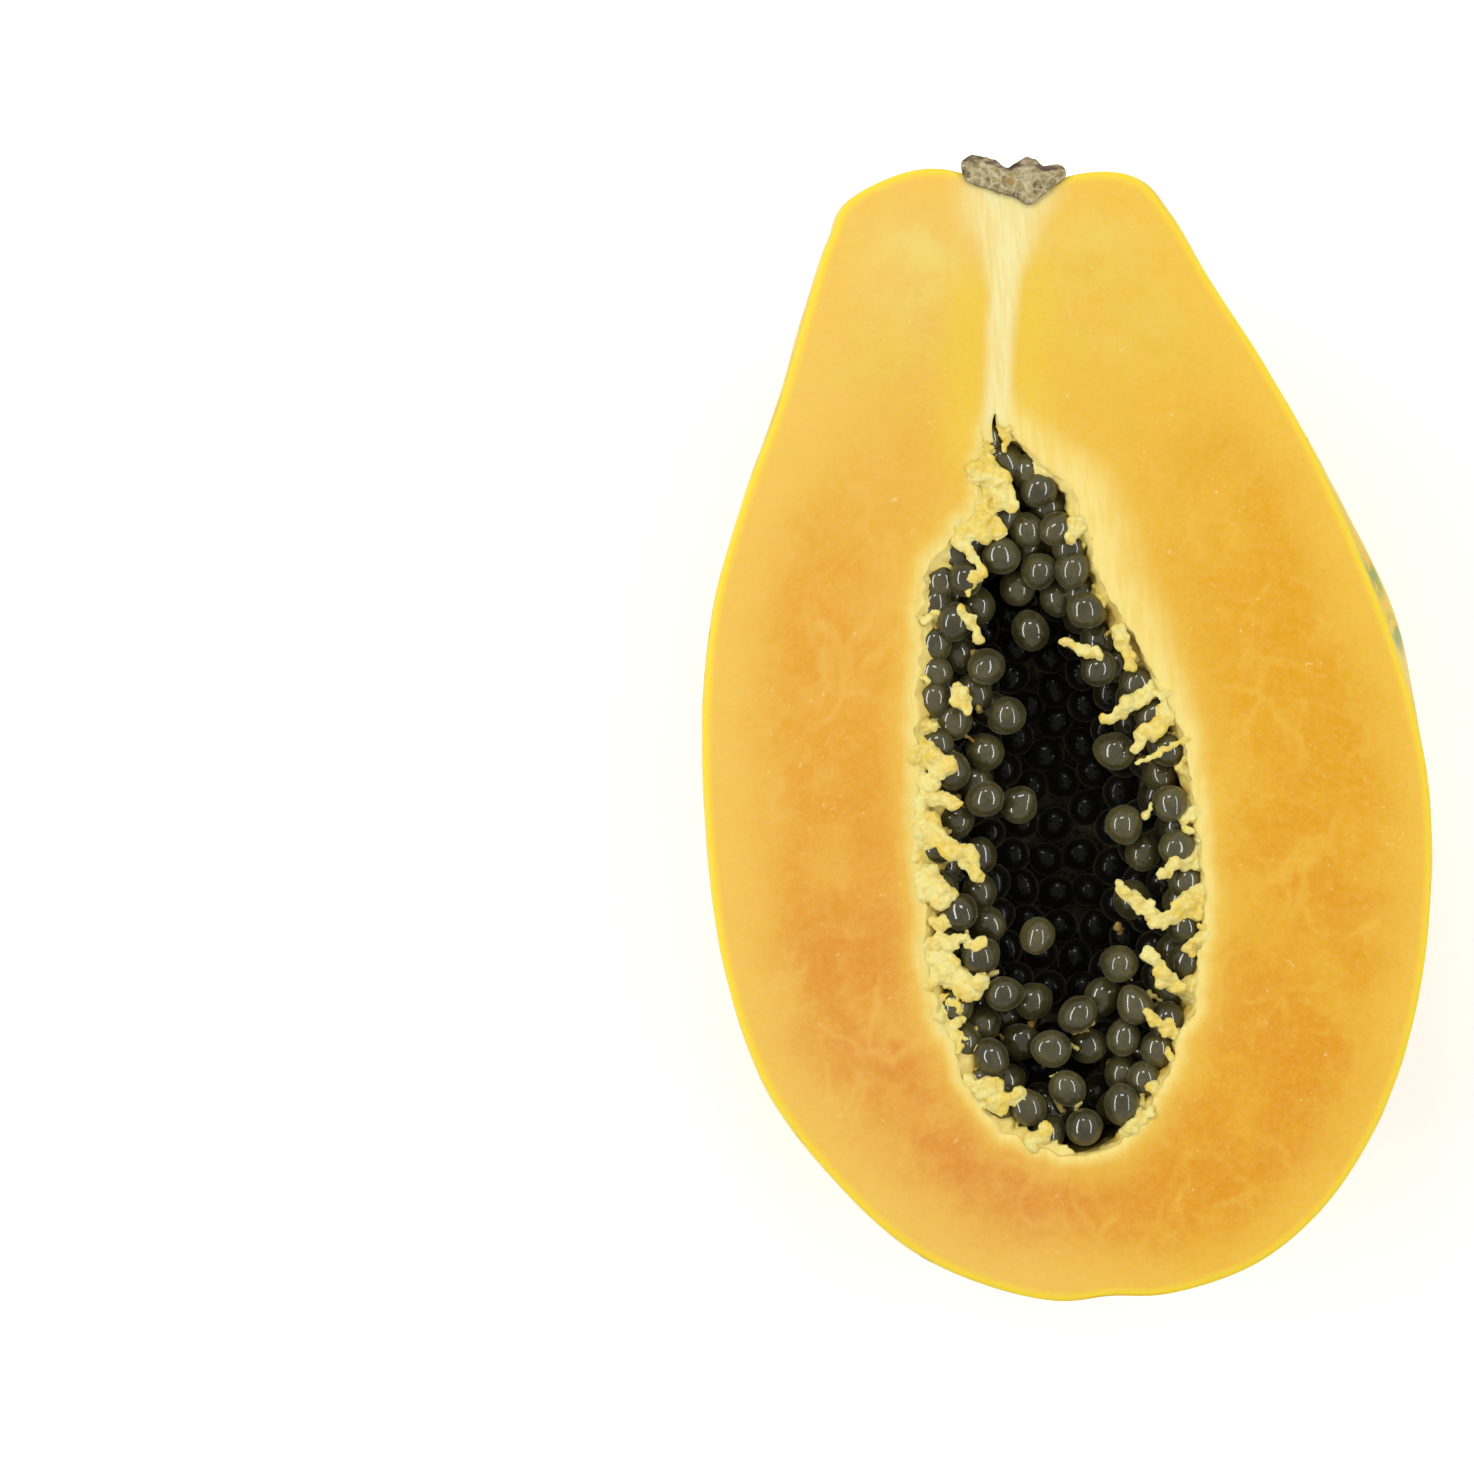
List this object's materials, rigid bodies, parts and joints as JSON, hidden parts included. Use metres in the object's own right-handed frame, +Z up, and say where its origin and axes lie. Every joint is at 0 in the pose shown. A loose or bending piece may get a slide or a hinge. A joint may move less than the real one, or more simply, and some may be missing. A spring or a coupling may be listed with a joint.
{
  "type": "papaya half",
  "caption": "Ripe papaya cut in half lengthwise, lying on its back with the cut face up, with yellow to orange flesh, a ragged cavity full of dark seeds and a corky stem stub.",
  "frame": {"origin": "on the surface that the half lies on, under the middle of its box", "axes": "+Y from the blossom end to the stem, along the fruit's length; +X to the right across the cut face, seen from above with the stem away; +Z up, out of the cut face"},
  "size_m": [0.1055, 0.1673, 0.0528],
  "materials": {
    "flesh": "moist orange papaya flesh under a thin yellow skin",
    "cork": "dry corky stem tissue",
    "seed_coat": "wet olive-black seed in a clear jelly coat"
  },
  "bodies": {
    "root": {"fruit_half": "flesh", "stem_stub": "cork", "seed_bed": "seed_coat", "seed_01": "seed_coat", "seed_02": "seed_coat", "seed_03": "seed_coat", "seed_04": "seed_coat", "seed_05": "seed_coat", "seed_06": "seed_coat", "seed_07": "seed_coat", "seed_08": "seed_coat", "seed_09": "seed_coat", "seed_10": "seed_coat", "seed_11": "seed_coat", "seed_12": "seed_coat", "seed_13": "seed_coat", "seed_14": "seed_coat", "seed_15": "seed_coat", "seed_16": "seed_coat", "seed_17": "seed_coat", "seed_18": "seed_coat", "seed_19": "seed_coat", "seed_20": "seed_coat", "seed_21": "seed_coat", "seed_22": "seed_coat", "seed_23": "seed_coat", "seed_24": "seed_coat", "seed_25": "seed_coat", "seed_26": "seed_coat", "seed_27": "seed_coat", "seed_28": "seed_coat", "seed_29": "seed_coat", "seed_30": "seed_coat", "seed_31": "seed_coat", "seed_32": "seed_coat", "seed_33": "seed_coat", "seed_34": "seed_coat", "seed_35": "seed_coat", "seed_36": "seed_coat", "seed_37": "seed_coat", "seed_38": "seed_coat", "seed_39": "seed_coat", "seed_40": "seed_coat", "seed_41": "seed_coat", "seed_42": "seed_coat", "seed_43": "seed_coat", "seed_44": "seed_coat", "seed_45": "seed_coat", "seed_46": "seed_coat", "seed_47": "seed_coat", "seed_48": "seed_coat", "seed_49": "seed_coat", "seed_50": "seed_coat", "seed_51": "seed_coat", "seed_52": "seed_coat", "seed_53": "seed_coat", "seed_54": "seed_coat", "seed_55": "seed_coat", "seed_56": "seed_coat"}
  },
  "joints": []
}
